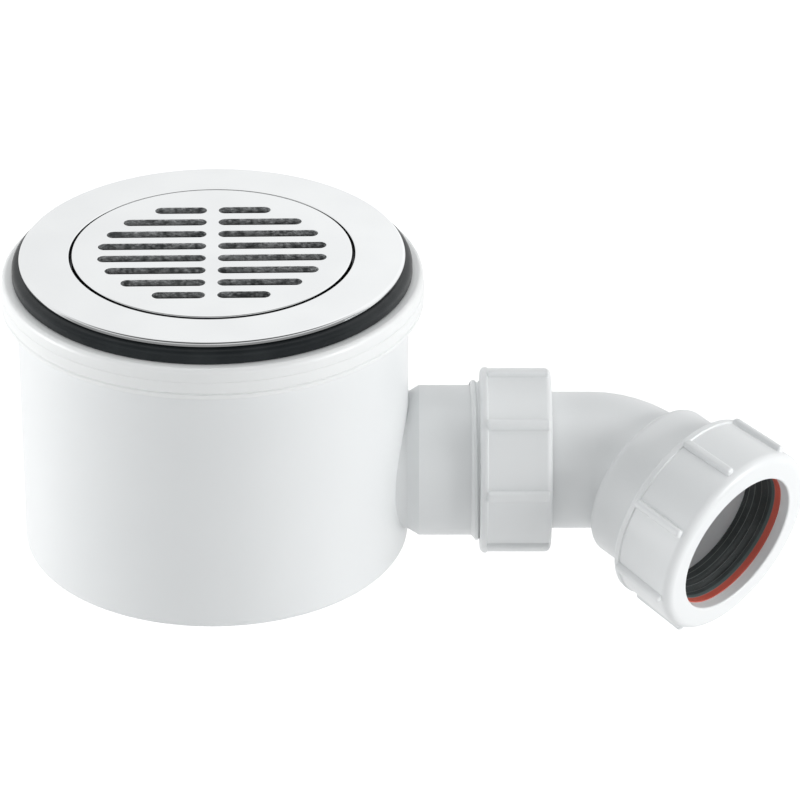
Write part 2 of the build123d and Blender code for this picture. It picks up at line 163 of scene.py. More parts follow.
def make_mottle():
    """Slow drift between two shades, as in thick mouldings and worn plating."""
    tree, given, result = open_group(
        "slow mottle",
        "ShaderNodeTree",
        [
            ("Shade A", "NodeSocketColor", (0.8, 0.8, 0.8, 1)),
            ("Shade B", "NodeSocketColor", (0.7, 0.7, 0.7, 1)),
            ("Patch Scale", "NodeSocketFloat", 40.0),
        ],
        [("Color", "NodeSocketColor")],
    )
    where = put(tree, "ShaderNodeTexCoord")
    wave = put(tree, "ShaderNodeTexNoise", {
        "Vector": where.outputs["Object"], "Scale": given.outputs["Patch Scale"],
        "Detail": 2.0, "Roughness": 0.45,
    })
    spread = put(tree, "ShaderNodeMapRange", {
        "Value": wave.outputs["Fac"], "From Min": 0.32, "From Max": 0.68,
    }, interpolation_type="SMOOTHSTEP")
    shade = blend(tree, spread.outputs[0], given.outputs["Shade A"], given.outputs["Shade B"])
    tree.links.new(shade, result.inputs["Color"])
    return tree


def make_grain():
    """Fine skin of a moulding: a roughness that drifts, and a height for the bump."""
    tree, given, result = open_group(
        "moulded grain",
        "ShaderNodeTree",
        [
            ("Grain Scale", "NodeSocketFloat", 2500.0),
            ("Ripple Scale", "NodeSocketFloat", 90.0),
            ("Ripple Share", "NodeSocketFloat", 0.5),
            ("Smoothest", "NodeSocketFloat", 0.2),
            ("Roughest", "NodeSocketFloat", 0.3),
        ],
        [("Roughness", "NodeSocketFloat"), ("Height", "NodeSocketFloat")],
    )
    where = put(tree, "ShaderNodeTexCoord")
    grain = put(tree, "ShaderNodeTexNoise", {
        "Vector": where.outputs["Object"], "Scale": given.outputs["Grain Scale"], "Detail": 2.0,
    })
    ripple = put(tree, "ShaderNodeTexNoise", {
        "Vector": where.outputs["Object"], "Scale": given.outputs["Ripple Scale"],
        "Detail": 3.0, "Roughness": 0.45,
    })
    height = put(tree, "ShaderNodeMix", {
        0: given.outputs["Ripple Share"], 2: grain.outputs["Fac"], 3: ripple.outputs["Fac"],
    }, data_type="FLOAT")
    gloss = put(tree, "ShaderNodeMapRange", {
        "Value": ripple.outputs["Fac"], "From Min": 0.3, "From Max": 0.7,
        "To Min": given.outputs["Smoothest"], "To Max": given.outputs["Roughest"],
    })
    tree.links.new(gloss.outputs[0], result.inputs["Roughness"])
    tree.links.new(height.outputs[0], result.inputs["Height"])
    return tree


def make_specks():
    """Scattered small specks: dust on the rubber, and painted glints on the slots' walls."""
    tree, given, result = open_group(
        "scattered specks",
        "ShaderNodeTree",
        [("Speck Scale", "NodeSocketFloat", 600.0), ("Cover", "NodeSocketFloat", 0.1)],
        [("Mask", "NodeSocketFloat")],
    )
    where = put(tree, "ShaderNodeTexCoord")
    cells = put(tree, "ShaderNodeTexVoronoi", {
        "Vector": where.outputs["Object"], "Scale": given.outputs["Speck Scale"],
    })
    patch = put(tree, "ShaderNodeTexNoise", {
        "Vector": where.outputs["Object"], "Scale": 130.0, "Detail": 2.0,
    })
    limit = maths(tree, "MULTIPLY", given.outputs["Cover"], patch.outputs["Fac"])
    mask = put(tree, "ShaderNodeMapRange", {
        "Value": cells.outputs["Distance"], "From Min": limit, "From Max": 0.0, "To Min": 0.0, "To Max": 1.0,
    }, interpolation_type="SMOOTHSTEP")
    tree.links.new(mask.outputs[0], result.inputs["Mask"])
    return tree


mottle, grain, specks = make_mottle(), make_grain(), make_specks()


def use(tree, group, **values):
    """Place a shared effect in a material, with its own values."""
    made = tree.nodes.new("ShaderNodeGroup")
    made.node_tree = group
    for label, value in values.items():
        made.inputs[label.replace("_", " ")].default_value = value
    return made


def finish_of(name, **constants):
    """A new material with one Principled shader, whose even values are set on its own sockets."""
    made = bpy.data.materials.new(name)
    made.use_nodes = True
    tree = made.node_tree
    shader = tree.nodes["Principled BSDF"]
    for label, value in constants.items():
        shader.inputs[label.replace("_", " ")].default_value = value
    return made, tree, shader


def dress(tree, shader, shades, patch, gloss, grain_scale, ripple_scale, ripple_share, bump):
    """Colour, gloss and bump that the finishes share. Gives the colour, for what lies over it."""
    colour = use(tree, mottle, Shade_A=(*shades[0], 1), Shade_B=(*shades[1], 1), Patch_Scale=patch)
    skin = use(tree, grain, Grain_Scale=grain_scale, Ripple_Scale=ripple_scale, Ripple_Share=ripple_share,
               Smoothest=gloss[0], Roughest=gloss[1])
    lift = put(tree, "ShaderNodeBump", {"Height": skin.outputs["Height"], "Strength": 1.0, "Distance": bump})
    tree.links.new(colour.outputs["Color"], shader.inputs["Base Color"])
    tree.links.new(skin.outputs["Roughness"], shader.inputs["Roughness"])
    tree.links.new(lift.outputs["Normal"], shader.inputs["Normal"])
    return colour.outputs["Color"]


# Finishes: each has two shades, and a gloss that drifts between two roughnesses

def white_plastic(name, *shades):
    made, tree, shader = finish_of(name, Metallic=0.0, IOR=1.49)
    dress(tree, shader, shades, patch=16.0, gloss=(0.3, 0.37),
          grain_scale=1900.0, ripple_scale=45.0, ripple_share=0.4, bump=0.000015)
    return made


def plated(name, *shades, gloss, bump):
    made, tree, shader = finish_of(name, Metallic=1.0)
    dress(tree, shader, shades, patch=45.0, gloss=gloss,
          grain_scale=1500.0, ripple_scale=60.0, ripple_share=0.8, bump=bump)
    return made


def slot_painted_shade(name, *shades, glint_colour):
    """Plating on the slots' sawn walls, dull and dark as painted shade and reflection, with painted glints.
    """
    made, tree, shader = finish_of(name, Metallic=0.35)
    colour = dress(tree, shader, shades, patch=380.0, gloss=(0.3, 0.5),
                   grain_scale=1400.0, ripple_scale=500.0, ripple_share=0.5, bump=0.0009)
    painted_glints = use(tree, specks, Speck_Scale=620.0, Cover=1.3)
    bright = blend(tree, painted_glints.outputs["Mask"], colour, (*glint_colour, 1))
    tree.links.new(bright, shader.inputs["Base Color"])
    return made


def rubber(name, *shades, gloss, dust, specular, dust_colour=(0.2, 0.21, 0.21)):
    made, tree, shader = finish_of(name, Metallic=0.0, IOR=1.5, Specular_IOR_Level=specular)
    colour = dress(tree, shader, shades, patch=90.0, gloss=gloss,
                   grain_scale=2600.0, ripple_scale=160.0, ripple_share=0.35, bump=0.00008)
    motes = use(tree, specks, Speck_Scale=1500.0, Cover=dust)
    dusty = blend(tree, motes.outputs["Mask"], colour, (*dust_colour, 1))
    tree.links.new(dusty, shader.inputs["Base Color"])
    return made


def paint_lip_light(finish, lit_front_colour, lip_highlight_colour):
    """Painted light on the seal's lips, which step along the outlet's axis: a lit front and highlighted
    edges.
    """
    tree = finish.node_tree
    shader = tree.nodes["Principled BSDF"]
    below = shader.inputs["Base Color"].links[0].from_socket
    where = put(tree, "ShaderNodeTexCoord").outputs["Object"]
    from_elbow = put(tree, "ShaderNodeVectorMath", {0: where, 1: elbow}, operation="SUBTRACT").outputs[0]
    station = put(tree, "ShaderNodeVectorMath", {0: from_elbow, 1: outlet_way},
                  operation="DOT_PRODUCT").outputs["Value"]
    lips = maths(tree, "DIVIDE", maths(tree, "SUBTRACT", seal_face * MM, station), lip_pitch * MM)
    away = maths(tree, "ABSOLUTE", maths(tree, "SUBTRACT", maths(tree, "FRACT", lips), 0.5))
    # Painted highlights along each lip's edge
    line = put(tree, "ShaderNodeMapRange", {"Value": away, "From Min": 0.42, "From Max": 0.49, "To Max": 0.8})
    # The front lip is painted lighter, as if lit
    front = put(tree, "ShaderNodeMapRange", {"Value": lips, "From Min": 0.5, "From Max": 0.4, "To Max": 0.85})
    lit_front = blend(tree, front.outputs[0], below, (*lit_front_colour, 1))
    lip_highlights = blend(tree, line.outputs[0], lit_front, (*lip_highlight_colour, 1))
    tree.links.new(lip_highlights, shader.inputs["Base Color"])


def dull_plastic(name, *shades):
    made, tree, shader = finish_of(name, Metallic=0.0, IOR=1.49)
    dress(tree, shader, shades, patch=60.0, gloss=(0.38, 0.52),
          grain_scale=2200.0, ripple_scale=110.0, ripple_share=0.4, bump=0.00006)
    return made


body_white = white_plastic("body_white_plastic", (0.812, 0.826, 0.83), (0.8, 0.815, 0.82))
collar_white = white_plastic("collar_white_plastic", (0.855, 0.865, 0.863), (0.845, 0.855, 0.853))
fitting_white = white_plastic("fitting_white_plastic", (0.845, 0.858, 0.862), (0.829, 0.844, 0.849))
flange_chrome = plated("flange_chrome", (0.83, 0.845, 0.85), (0.8, 0.815, 0.822),
                       gloss=(0.05, 0.1), bump=0.00001)
# The slots' walls: dark mottled plating with bright specks, painted shade, reflections and glints of the
# slots
slot_wall = slot_painted_shade("slot_wall_painted_shade", (0.22, 0.228, 0.234), (0.72, 0.733, 0.74),
                         glint_colour=(0.95, 0.96, 0.965))
# Dull dark plating for the flange's recess and the cover's rim: painted shade in the gap between cover and
# flange
gap_chrome_painted_shade = plated("gap_chrome_painted_shade", (0.09, 0.094, 0.1), (0.13, 0.136, 0.142), gloss=(0.3, 0.4), bump=0.00002)
ring_rubber = rubber("ring_rubber", (0.022, 0.027, 0.03), (0.033, 0.039, 0.042),
                     gloss=(0.31, 0.38), dust=0.08, specular=0.24)
lip_rubber = rubber("lip_rubber", (0.026, 0.032, 0.032), (0.05, 0.058, 0.058),
                    gloss=(0.42, 0.6), dust=0.3, specular=0.35)
# Painted light on the seal's lips: a lit front lip and highlights along the lips' edges
paint_lip_light(lip_rubber, lit_front_colour=(0.085, 0.115, 0.115), lip_highlight_colour=(0.19, 0.205, 0.206))
inner_grey = dull_plastic("inner_grey_plastic", (0.05, 0.053, 0.056), (0.075, 0.079, 0.083))
washer_red = dull_plastic("washer_red_plastic", (0.68, 0.13, 0.09), (0.6, 0.105, 0.07))


# Mesh helpers

def show(name, mesh):
    made = bpy.data.objects.new(name, mesh)
    bpy.context.scene.collection.objects.link(made)
    return made


def baked(made):
    """The object's mesh with its modifiers done, as a plain mesh."""
    bpy.context.view_layer.update()
    done = bpy.data.meshes.new_from_object(made.evaluated_get(bpy.context.evaluated_depsgraph_get()))
    name = made.name
    bpy.data.objects.remove(made)
    done.name = name
    return done


def shaded(name, mesh, angle=35):
    """The mesh shaded smooth between sharp edges, with flat faces kept flat beside their roundings."""
    for face in mesh.polygons:
        face.use_smooth = True
    mesh.set_sharp_from_angle(angle=math.radians(angle))
    work = show(name, mesh)
    even = work.modifiers.new("even normals", "WEIGHTED_NORMAL")
    even.weight = 80
    even.keep_sharp = True
    return baked(work)


def hand_over(made, body, nodes=()):
    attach(made, body)
    if nodes:
        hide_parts(*nodes)
    return made


def copy_of(node):
    """A merged copy of a node's mesh."""
    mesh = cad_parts[node].data.copy()
    mesh.materials.clear()
    work = bmesh.new()
    work.from_mesh(mesh)
    bmesh.ops.remove_doubles(work, verts=work.verts, dist=1e-6)
    work.to_mesh(mesh)
    work.free()
    for layer in ("custom_normal", "sharp_face", "sharp_edge"):
        if layer in mesh.attributes:
            mesh.attributes.remove(mesh.attributes[layer])
    return mesh


def moulded(node, body, finish, reshape=None):
    """A node's own shape, reshaped where asked, with smooth shading and its finish."""
    mesh = copy_of(node)
    if reshape:
        reshape(mesh)
    mesh.materials.append(finish)
    name = node + "_look"
    return hand_over(show(name, shaded(name, mesh, 30)), body, [node])


def pick_out(mesh, finish, picked):
    """Give the faces whose middles are picked, by radius and height in millimetres, another finish."""
    mesh.materials.append(finish)
    for face in mesh.polygons:
        x, y, z = face.center / MM
        if picked(math.hypot(x, y), z):
            face.material_index = len(mesh.materials) - 1


def turned(name, outline, segments):
    """A mesh turned round Z from (radius, height) points in millimetres.

    The outline runs from axis to axis, with one flat face at each end, or ends on its first point.
    """
    work = bmesh.new()
    rings = []
    for radius, height in outline:
        if rings and (radius, height) == outline[0]:
            rings.append(rings[0])
            continue
        if radius == 0:
            rings.append(None)
            continue
        ring = []
        for step in range(segments):
            angle = 2 * math.pi * step / segments
            ring.append(work.verts.new((
                radius * MM * math.cos(angle), radius * MM * math.sin(angle), height * MM,
            )))
        rings.append(ring)
    for low, high in zip(rings, rings[1:]):
        if low is None or high is None:
            work.faces.new(low or high)
            continue
        for step in range(segments):
            after = (step + 1) % segments
            work.faces.new((low[step], low[after], high[after], high[step]))
    bmesh.ops.recalc_face_normals(work, faces=work.faces)
    mesh = bpy.data.meshes.new(name)
    work.to_mesh(mesh)
    work.free()
    return mesh


def arc(middle, radius, start, end, steps):
    """Points of an arc in an outline, from one angle to another in degrees."""
    points = []
    for step in range(steps + 1):
        angle = math.radians(start + (end - start) * step / steps)
        points.append((middle[0] + radius * math.cos(angle), middle[1] + radius * math.sin(angle)))
    return points


def onto(origin, way):
    """The move that sets a mesh turned round Z on another axis."""
    return Matrix.Translation(origin) @ way.to_track_quat("Z", "Y").to_matrix().to_4x4()


def set_inputs(modifier, values):
    """Set a tree's inputs by their sockets' identifiers."""
    for item in modifier.node_group.interface.items_tree:
        if item.item_type == "SOCKET" and item.in_out == "INPUT" and item.name in values:
            modifier[item.identifier] = values[item.name]


# Slotted cover: round cutters pulled long, two columns of them, cut out of the turned pan

def make_slot_tree():
    tree, given, result = open_group(
        "slotted cover",
        "GeometryNodeTree",
        [
            ("Geometry", "NodeSocketGeometry", None),
            ("Slot Pitch", "NodeSocketFloat", 0.0),
            ("Slot Width", "NodeSocketFloat", 0.0),
            ("Field Radius", "NodeSocketFloat", 0.0),
            ("Centre Bar", "NodeSocketFloat", 0.0),
            ("Half Rows", "NodeSocketInt", 1),
            ("Turn", "NodeSocketFloat", 0.0),
            ("Top", "NodeSocketFloat", 0.0),
            ("Depth", "NodeSocketFloat", 0.0),
            ("Plate", "NodeSocketMaterial", None),
            ("Slot Wall", "NodeSocketMaterial", None),
        ],
        [("Geometry", "NodeSocketGeometry")],
    )
    size = given.outputs
    index = put(tree, "GeometryNodeInputIndex").outputs[0]
    row = maths(tree, "FLOOR", maths(tree, "DIVIDE", index, 2.0))
    side = maths(tree, "SUBTRACT", maths(tree, "MULTIPLY", maths(tree, "MODULO", index, 2.0), 2.0), 1.0)
    middle_row = maths(tree, "SUBTRACT", size["Half Rows"], 0.5)
    row_y = maths(tree, "MULTIPLY", maths(tree, "SUBTRACT", row, middle_row), size["Slot Pitch"])
    half_width = maths(tree, "DIVIDE", size["Slot Width"], 2.0)
    corner_y = maths(tree, "ADD", maths(tree, "ABSOLUTE", row_y), half_width)
    reach = maths(tree, "SQRT", maths(
        tree, "SUBTRACT",
        maths(tree, "POWER", size["Field Radius"], 2.0),
        maths(tree, "POWER", corner_y, 2.0),
    ))
    half_bar = maths(tree, "DIVIDE", size["Centre Bar"], 2.0)
    length = maths(tree, "SUBTRACT", reach, half_bar)
    middle = maths(tree, "ADD", half_bar, maths(tree, "DIVIDE", length, 2.0))
    half_run = maths(tree, "DIVIDE", maths(tree, "SUBTRACT", length, size["Slot Width"]), 2.0)

    places = put(tree, "GeometryNodePoints", {
        "Count": maths(tree, "MULTIPLY", size["Half Rows"], 4.0),
        "Position": vector(tree, X=maths(tree, "MULTIPLY", side, middle), Y=row_y, Z=size["Top"]),
    })
    cutter = put(tree, "GeometryNodeMeshCylinder", {
        "Vertices": 40, "Radius": half_width, "Depth": size["Depth"],
    })
    position = put(tree, "GeometryNodeInputPosition").outputs[0]
    own_x = put(tree, "ShaderNodeSeparateXYZ", {0: position}).outputs["X"]
    marked = put(tree, "GeometryNodeStoreNamedAttribute", {
        "Geometry": cutter.outputs["Mesh"], "Name": "own_x", "Value": own_x,
    }, data_type="FLOAT", domain="POINT")
    spread = put(tree, "GeometryNodeInstanceOnPoints", {
        "Points": places.outputs[0], "Instance": marked.outputs[0],
    })
    measured = put(tree, "GeometryNodeStoreNamedAttribute", {
        "Geometry": spread.outputs[0], "Name": "half_run", "Value": half_run,
    }, data_type="FLOAT", domain="INSTANCE")
    cutters = put(tree, "GeometryNodeRealizeInstances", {"Geometry": measured.outputs[0]})
    pull = maths(tree, "MULTIPLY", maths(tree, "SIGN", stored(tree, "own_x")), stored(tree, "half_run"))
    pulled = put(tree, "GeometryNodeSetPosition", {
        "Geometry": cutters.outputs[0], "Offset": vector(tree, X=pull),
    })
    swung = put(tree, "GeometryNodeTransform", {
        "Geometry": pulled.outputs[0], "Rotation": vector(tree, Z=size["Turn"]),
    })
    walled = put(tree, "GeometryNodeSetMaterial", {
        "Geometry": swung.outputs[0], "Material": size["Slot Wall"],
    })
    plate = put(tree, "GeometryNodeSetMaterial", {"Geometry": size["Geometry"], "Material": size["Plate"]})
    cut = put(tree, "GeometryNodeMeshBoolean", {
        "Mesh 1": plate.outputs[0], "Mesh 2": walled.outputs[0],
    }, operation="DIFFERENCE", solver="EXACT")
    whole = put(tree, "GeometryNodeRealizeInstances", {"Geometry": cut.outputs[0]})
    is_wall = put(tree, "GeometryNodeMaterialSelection", {"Material": size["Slot Wall"]})
    not_wall = put(tree, "FunctionNodeBooleanMath", {0: is_wall.outputs[0]}, operation="NOT")
    final = put(tree, "GeometryNodeSetMaterial", {
        "Geometry": whole.outputs[0], "Selection": not_wall.outputs[0], "Material": size["Plate"],
    })
    tree.links.new(final.outputs[0], result.inputs["Geometry"])
    return tree


def slotted_cover():
    under, inside = cover_top - cover_plate, cover_radius - cover_skirt
    outline = [(0, under), (inside, under), (inside, cover_ledge), (cover_radius, cover_ledge)]
    outline += arc((cover_radius - cover_edge, cover_top - cover_edge), cover_edge, 0, 90, steps=8)
    outline += [(0, cover_top)]
    work = show("grid_cover_look", turned("cover pan", outline, cover_steps))
    cutting = work.modifiers.new("slots", "NODES")
    cutting.node_group = make_slot_tree()
    set_inputs(cutting, {
        "Slot Pitch": slot_pitch * MM,
        "Slot Width": slot_width * MM,
        "Field Radius": slot_field * MM,
        "Centre Bar": centre_bar * MM,
        "Half Rows": slot_half_rows,
        "Turn": math.radians(cover_turn),
        "Top": cover_top * MM,
        "Depth": 3 * cover_plate * MM,
        "Plate": flange_chrome,
        "Slot Wall": slot_wall,
    })
    soft = work.modifiers.new("slot edges", "BEVEL")
    soft.width = slot_softness * MM
    soft.segments = 2
    soft.limit_method = "ANGLE"
    soft.angle_limit = math.radians(40)
    done = shaded("grid_cover_look", baked(work))
    # The cover's rim takes the painted shade of the gap
    pick_out(done, gap_chrome_painted_shade, lambda radius, z: radius > cover_radius - 0.3 and z < cover_top - cover_edge)
    return hand_over(show("grid_cover_look", done), "lift_out", ["grid_cover"])


# Turned flange and rubber ring, finer than the solids' own meshes

def smooth_ring(node, outline, segments, body, finish):
    mesh = turned(node + " ring", outline + outline[:1], segments)
    mesh.materials.append(finish)
    name = node + "_look"
    return hand_over(show(name, shaded(name, mesh)), body, [node])


def flange_outline():
    outline = [(tail_bore, seat_top), (tail_bore, cover_ledge), (recess_radius, cover_ledge)]
    outline += arc((recess_radius + recess_edge, flange_top - recess_edge), recess_edge, 180, 90, steps=6)
    outline += arc((flange_radius - flange_edge, flange_top - flange_edge), flange_edge, 90, 0, steps=10)
    outline += [(flange_radius, 0), (tail_radius, 0), (tail_radius, tail_end), (seat_radius, tail_end),
                (seat_radius, seat_top)]
    return outline


def in_recess(radius, z):
    """Whether a face lies on the floor or the wall of the flange's recess."""
    return tail_bore - 1 < radius < recess_radius + 0.2 and cover_ledge - 0.1 < z < flange_top - recess_edge


def ring_outline():
    """The ring bulges low on its outer side, and draws in under the flange's edge."""
    outline = [(ring_bore, ring_under)]
    outline += arc((ring_radius - foot_rounding, ring_under + foot_rounding), foot_rounding, -90, 0, steps=6)
    outline += arc((ring_radius - bulge_rounding, ring_under + bulge_rise), bulge_rounding, 0, 80, steps=14)
    outline += [(ring_radius - neck_cut, -neck_drop), (ring_radius - brim_cut, 0), (ring_bore, 0)]
    return outline


# Screw threads: one ridge wound up an axis, fading out at both ends

def make_thread_tree():
    tree, given, result = open_group(
        "screw thread",
        "GeometryNodeTree",
        [
            ("Geometry", "NodeSocketGeometry", None),
            ("Start", "NodeSocketFloat", 0.0),
            ("Run", "NodeSocketFloat", 0.0),
            ("Pitch", "NodeSocketFloat", 0.0),
            ("Root Radius", "NodeSocketFloat", 0.0),
            ("Rise", "NodeSocketFloat", 0.0),
            ("Root Width", "NodeSocketFloat", 0.0),
            ("Crest Width", "NodeSocketFloat", 0.0),
            ("Finish", "NodeSocketMaterial", None),
        ],
        [("Geometry", "NodeSocketGeometry")],
    )
    size = given.outputs
    turns = maths(tree, "DIVIDE", size["Run"], size["Pitch"])
    path = put(tree, "GeometryNodeCurveSpiral", {
        "Resolution": 96, "Rotations": turns, "Start Radius": size["Root Radius"],
        "End Radius": size["Root Radius"], "Height": size["Run"], "Reverse": True,
    })
    upright = put(tree, "GeometryNodeSetCurveNormal", {"Curve": path.outputs[0]}, mode="Z_UP")
    along = put(tree, "GeometryNodeSplineParameter").outputs["Factor"]
    ramp = maths(tree, "MULTIPLY", turns, 1.6)
    climb = maths(tree, "MULTIPLY", along, ramp)
    fall = maths(tree, "MULTIPLY", maths(tree, "SUBTRACT", 1.0, along), ramp)
    fade = maths(tree, "MINIMUM", maths(tree, "MINIMUM", climb, fall), 1.0)
    faded = put(tree, "GeometryNodeSetCurveRadius", {
        "Curve": upright.outputs[0], "Radius": maths(tree, "MAXIMUM", fade, 0.05),
    })
    section = put(tree, "GeometryNodeCurvePrimitiveQuadrilateral", {
        "Height": size["Rise"], "Bottom Width": size["Root Width"], "Top Width": size["Crest Width"],
        "Offset": 0.0,
    }, mode="TRAPEZOID")
    lifted = put(tree, "GeometryNodeTransform", {
        "Geometry": section.outputs[0],
        "Translation": vector(tree, Y=maths(tree, "DIVIDE", size["Rise"], 2.0)),
    })
    facing = put(tree, "GeometryNodeTransform", {
        "Geometry": lifted.outputs[0], "Rotation": (0.0, 0.0, math.radians(-90)),
    })
    ridge = put(tree, "GeometryNodeCurveToMesh", {
        "Curve": faded.outputs[0], "Profile Curve": facing.outputs[0], "Fill Caps": True,
    })
    placed = put(tree, "GeometryNodeTransform", {
        "Geometry": ridge.outputs[0], "Translation": vector(tree, Z=size["Start"]),
    })
    whole = put(tree, "GeometryNodeRealizeInstances", {"Geometry": placed.outputs[0]})
    final = put(tree, "GeometryNodeSetMaterial", {"Geometry": whole.outputs[0], "Material": size["Finish"]})
    tree.links.new(final.outputs[0], result.inputs["Geometry"])
    return tree


thread_tree = make_thread_tree()


def thread(name, body, finish, origin, way, *, start, run, pitch, root, rise):
    """A right-hand thread round an axis. Sizes in millimetres."""
    work = show(name, bpy.data.meshes.new(name))
    winding = work.modifiers.new("thread", "NODES")
    winding.node_group = thread_tree
    set_inputs(winding, {
        "Start": start * MM,
        "Run": run * MM,
        "Pitch": pitch * MM,
        "Root Radius": root * MM,
        "Rise": rise * MM,
        "Root Width": thread_root_share * pitch * MM,
        "Crest Width": thread_crest_share * pitch * MM,
        "Finish": finish,
    })
    done = baked(work)
    work = bmesh.new()
    work.from_mesh(done)
    bmesh.ops.recalc_face_normals(work, faces=work.faces)
    work.to_mesh(done)
    work.free()
    done.transform(onto(origin, way))
    return hand_over(show(name, shaded(name, done, 50)), body)


# Bend: a rounder shoulder on the socket, and a soft hollow where the tube meets it

def round_socket_shoulder(mesh):
    """Draw the rounding of the socket's back edge out about its corner."""
    grown = shoulder_rounding / shoulder_cut
    slack = 0.01
    for point in mesh.vertices:
        from_elbow = point.co - elbow
        station = from_elbow.dot(outlet_way)
        outward = from_elbow - station * outlet_way
        radius = outward.length
        on_edge = socket_back - slack < station / MM < socket_back + shoulder_cut + slack
        if on_edge and radius / MM > socket_radius - shoulder_cut - slack:
            new_station = socket_back * MM + (station - socket_back * MM) * grown
            new_radius = socket_radius * MM + (radius - socket_radius * MM) * grown
            point.co = elbow + new_station * outlet_way + outward * (new_radius / radius)


def socket_hollow():
    start, edge = socket_back - hollow_rounding, tube_radius + hollow_rounding
    end, inside = socket_back + sunk_in_socket, tube_radius - sunk_in_tube
    outline = arc((edge, start), hollow_rounding, 180, 90, steps=10)
    outline += [(edge, end), (inside, end), (inside, start)]
    mesh = turned("socket hollow", outline + outline[:1], nut_steps)
    mesh.transform(onto(elbow, outlet_way))
    mesh.materials.append(fitting_white)
    return hand_over(show("socket_hollow", shaded("socket_hollow", mesh)), "bend")


# Nuts: a turned body with grip ribs fused round it

def make_rib_tree():
    """Ribs round a nut's axis: balls squared off, pulled long, and leaned out along the nut."""
    tree, given, result = open_group(
        "grip ribs",
        "GeometryNodeTree",
        [
            ("Geometry", "NodeSocketGeometry", None),
            ("Rib Count", "NodeSocketInt", 1),
            ("First Angle", "NodeSocketFloat", 0.0),
            ("Root Radius", "NodeSocketFloat", 0.0),
            ("Rise", "NodeSocketFloat", 0.0),
            ("Width", "NodeSocketFloat", 0.0),
            ("Nose", "NodeSocketFloat", 0.0),
            ("Start", "NodeSocketFloat", 0.0),
            ("End", "NodeSocketFloat", 0.0),
            ("Lean", "NodeSocketFloat", 0.0),
            ("Squareness", "NodeSocketFloat", 0.6),
            ("Finish", "NodeSocketMaterial", None),
        ],
        [("Geometry", "NodeSocketGeometry")],
    )
    size = given.outputs
    ball = put(tree, "GeometryNodeMeshUVSphere", {"Segments": 32, "Rings": 16, "Radius": 1.0})
    position = put(tree, "GeometryNodeInputPosition").outputs[0]
    own = put(tree, "ShaderNodeSeparateXYZ", {0: position}).outputs

    def squared(value):
        filled = maths(tree, "POWER", maths(tree, "ABSOLUTE", value), size["Squareness"])
        return maths(tree, "MULTIPLY", filled, maths(tree, "SIGN", value))

    half_length = maths(tree, "DIVIDE", maths(tree, "SUBTRACT", size["End"], size["Start"]), 2.0)
    half_run = maths(tree, "SUBTRACT", half_length, size["Nose"])
    half_width = maths(tree, "DIVIDE", size["Width"], 2.0)
    nosed = maths(tree, "MULTIPLY", squared(own["Z"]), size["Nose"])
    pulled = maths(tree, "ADD", nosed, maths(tree, "MULTIPLY", maths(tree, "SIGN", own["Z"]), half_run))
    rib = put(tree, "GeometryNodeSetPosition", {
        "Geometry": ball.outputs["Mesh"],
        "Position": vector(
            tree,
            X=maths(tree, "MULTIPLY", squared(own["X"]), size["Rise"]),
            Y=maths(tree, "MULTIPLY", squared(own["Y"]), half_width),
            Z=pulled,
        ),
    })
    index = put(tree, "GeometryNodeInputIndex").outputs[0]
    step = maths(tree, "DIVIDE", 2 * math.pi, size["Rib Count"])
    angle = maths(tree, "ADD", maths(tree, "MULTIPLY", index, step), size["First Angle"])
    places = put(tree, "GeometryNodePoints", {
        "Count": size["Rib Count"],
        "Position": vector(
            tree,
            X=maths(tree, "MULTIPLY", maths(tree, "COSINE", angle), size["Root Radius"]),
            Y=maths(tree, "MULTIPLY", maths(tree, "SINE", angle), size["Root Radius"]),
            Z=maths(tree, "ADD", size["Start"], half_length),
        ),
    })
    marked = put(tree, "GeometryNodeStoreNamedAttribute", {
        "Geometry": places.outputs[0], "Name": "rib_angle", "Value": angle,
    }, data_type="FLOAT", domain="POINT")
    facing = put(tree, "FunctionNodeEulerToRotation", {
        0: vector(tree, Y=size["Lean"], Z=stored(tree, "rib_angle")),
    })
    spread = put(tree, "GeometryNodeInstanceOnPoints", {
        "Points": marked.outputs[0], "Instance": rib.outputs[0], "Rotation": facing.outputs[0],
    })
    fused = put(tree, "GeometryNodeMeshBoolean", operation="UNION", solver="EXACT")
    tree.links.new(spread.outputs[0], fused.inputs["Mesh 2"])
    tree.links.new(size["Geometry"], fused.inputs["Mesh 2"])
    whole = put(tree, "GeometryNodeRealizeInstances", {"Geometry": fused.outputs[0]})
    final = put(tree, "GeometryNodeSetMaterial", {"Geometry": whole.outputs[0], "Material": size["Finish"]})
    tree.links.new(final.outputs[0], result.inputs["Geometry"])
    return tree


rib_tree = make_rib_tree()


def ribbed_nut(node, outline, origin, across, way, ribs):
    """A nut turned from its outline and ribbed, then set on its axis. Sizes in millimetres and degrees."""
    name = node + "_look"
    work = show(name, turned(node + " body", outline + outline[:1], nut_steps))
    gripping = work.modifiers.new("ribs", "NODES")
    gripping.node_group = rib_tree
    values = {"Rib Count": rib_count, "Finish": fitting_white}
    for label, size in ribs.items():
        values[label] = math.radians(size) if label in ("First Angle", "Lean") else size * MM
    set_inputs(gripping, values)
    done = baked(work)
    turn = Matrix((across, way.cross(across), way)).transposed().to_4x4()
    done.transform(Matrix.Translation(origin) @ turn)
    return hand_over(show(name, shaded(name, done)), node, [node])


def coupling_outline():
    lip, back, bent = coupling_radius + coupling_lip, coupling_back, coupling_lip_rounding
    rounding = coupling_front_rounding
    outline = [(coupling_bore, coupling_shoulder), (coupling_bore, back)]
    outline += arc((lip - bent, back + bent), bent, -90, 0, steps=10)
    outline += [(lip, back + coupling_lip_flat), (coupling_radius, back + coupling_lip_end)]
    outline += arc((coupling_radius - rounding, coupling_front - rounding), rounding, 0, 90, steps=10)
    outline += [(coupling_hole, coupling_front), (coupling_hole, coupling_shoulder)]
    return outline


